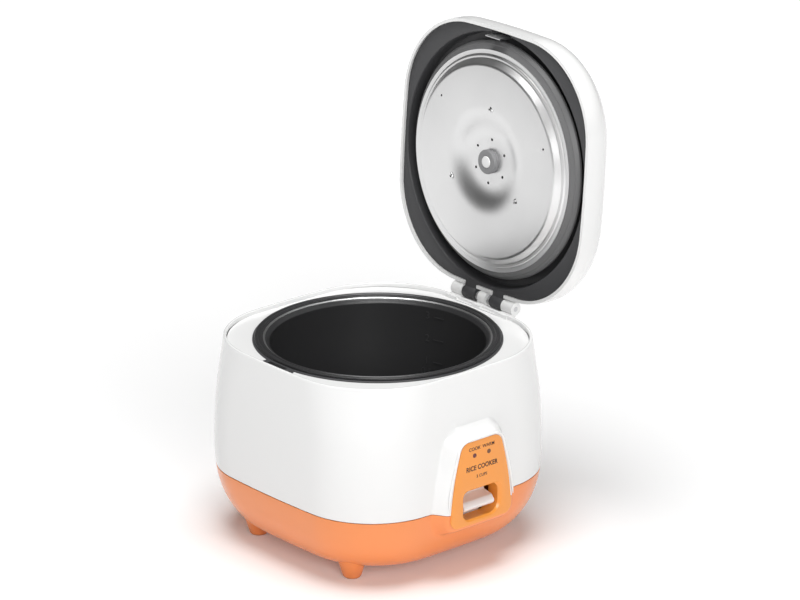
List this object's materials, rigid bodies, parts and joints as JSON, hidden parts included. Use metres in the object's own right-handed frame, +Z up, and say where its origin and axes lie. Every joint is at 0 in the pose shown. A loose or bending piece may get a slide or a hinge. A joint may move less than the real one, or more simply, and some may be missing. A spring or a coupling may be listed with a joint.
{
  "type": "rice cooker",
  "caption": "Small rice cooker with a rounded square body, orange base, lever switch, lift-out pot and a hinged lid that stands open.",
  "frame": {"origin": "on the surface it stands on, under the axis of the pot", "axes": "+Z up, -Y towards the control panel, +X towards the lid hinge"},
  "size_m": [0.2626, 0.2217, 0.3708],
  "materials": {
    "white_plastic": "moulded gloss white",
    "orange_plastic": "moulded gloss peach orange",
    "panel_orange": "moulded gloss orange",
    "lever_plastic": "moulded gloss off-white",
    "lamp_red": "translucent red lamp",
    "lamp_amber": "translucent amber lamp",
    "led_clear": "clear epoxy",
    "dark_plastic": "matte charcoal",
    "rubber": "matte",
    "gasket_rubber": "satin grey silicone",
    "plate_metal": "satin spun aluminium",
    "pot_metal": "satin spun aluminium",
    "pot_nonstick": "black non-stick, satin",
    "cast_aluminium": "turned casting",
    "sheet_aluminium": "dull sheet",
    "mica": "mica band",
    "steel": "zinc plated",
    "magnet_ferrite": "ferrite",
    "capsule_metal": "turned",
    "board_green": "solder mask",
    "switch_plastic": "moulded",
    "brass": "turned"
  },
  "bodies": {
    "cooker_body": {"base_shell": "orange_plastic", "bottom_cover": "orange_plastic", "bottom_screws": "steel", "control_panel": "panel_orange", "cook_lens": "lamp_red", "feet": "orange_plastic", "foot_pads": "rubber", "heat_shield": "sheet_aluminium", "heater_element": "steel", "heater_plate": "cast_aluminium", "heater_posts": "steel", "hinge_block": "white_plastic", "hinge_pin": "steel", "hinge_springs": "steel", "inlet_pins": "brass", "inner_well": "sheet_aluminium", "keep_warm_heater": "mica", "lamp_board": "board_green", "latch_keeper": "dark_plastic", "leds": "led_clear", "lever_pin": "steel", "lever_spring": "steel", "micro_switch": "switch_plastic", "outer_shell": "white_plastic", "power_inlet": "dark_plastic", "spacers": "steel", "standoffs": "steel", "switch_bracket": "steel", "switch_button": "switch_plastic", "switch_post": "switch_plastic", "terminal_block": "switch_plastic", "thermal_fuse": "switch_plastic", "thermostat_spring": "steel", "top_deck": "white_plastic", "warm_lens": "lamp_amber", "well_ring": "dark_plastic"},
    "lid": {"lid_cover": "white_plastic", "lid_frame": "dark_plastic", "lid_screws": "steel", "hook_pin": "steel", "vent_cup": "dark_plastic"},
    "sealing_plate": {"lid_plate": "plate_metal", "plate_knob": "gasket_rubber", "lid_gasket": "gasket_rubber"},
    "latch": {"latch_hook": "steel"},
    "button": {"lid_button": "lever_plastic"},
    "vent_cap": {"steam_cap": "dark_plastic"},
    "pot": {"inner_pot": "pot_metal", "pot_coating": "pot_nonstick"},
    "lever": {"cook_lever": "lever_plastic"},
    "magnet_carrier": {"magnet": "magnet_ferrite", "magnet_rod": "steel"},
    "thermostat": {"thermostat_capsule": "capsule_metal"}
  },
  "joints": [
    {"name": "lid_hinge", "type": "hinge", "parent": "cooker_body", "child": "lid", "pos_m": [0.1081, 0, 0.1605], "axis": [0, 1, 0], "range_deg": [-93.9, 0]},
    {"name": "pot_lift", "type": "slide", "parent": "cooker_body", "child": "pot", "axis": [0, 0, 1], "range_m": [0, 0.068]},
    {"name": "cook_lever", "type": "hinge", "parent": "cooker_body", "child": "lever", "pos_m": [0, -0.084, 0.044], "axis": [1, 0, 0], "range_deg": [0, 5], "stiffness_Nm_per_rad": 1, "springref_deg": -2.86},
    {"name": "magnet_lift", "type": "slide", "parent": "cooker_body", "child": "magnet_carrier", "axis": [0, 0, 1], "range_m": [0, 0.0074]},
    {"name": "thermostat_press", "type": "slide", "parent": "cooker_body", "child": "thermostat", "axis": [0, 0, 1], "range_m": [-0.003, 0], "stiffness_N_per_m": 300, "springref_m": 0.003, "deforming": ["thermostat_spring"]},
    {"name": "lid_button_press", "type": "slide", "parent": "lid", "child": "button", "axis": [-0.9977, 0, 0.068], "range_m": [0, 0.0015], "stiffness_N_per_m": 400, "springref_m": -0.001},
    {"name": "latch_hook_swing", "type": "hinge", "parent": "lid", "child": "latch", "pos_m": [0.1379, 0, 0.35502], "axis": [0, 1, 0], "range_deg": [0, 4.2]},
    {"name": "plate_pull", "type": "slide", "parent": "lid", "child": "sealing_plate", "axis": [-0.9977, 0, 0.068], "range_m": [0, 0.012]},
    {"name": "steam_cap_pull", "type": "slide", "parent": "lid", "child": "vent_cap", "axis": [0.9977, 0, -0.068], "range_m": [0, 0.02]}
  ],
  "couplings": [
    {"joint": "magnet_lift", "follows": "cook_lever", "m_per_rad": 0.084},
    {"joint": "latch_hook_swing", "follows": "lid_button_press", "rad_per_m": 46.542}
  ]
}
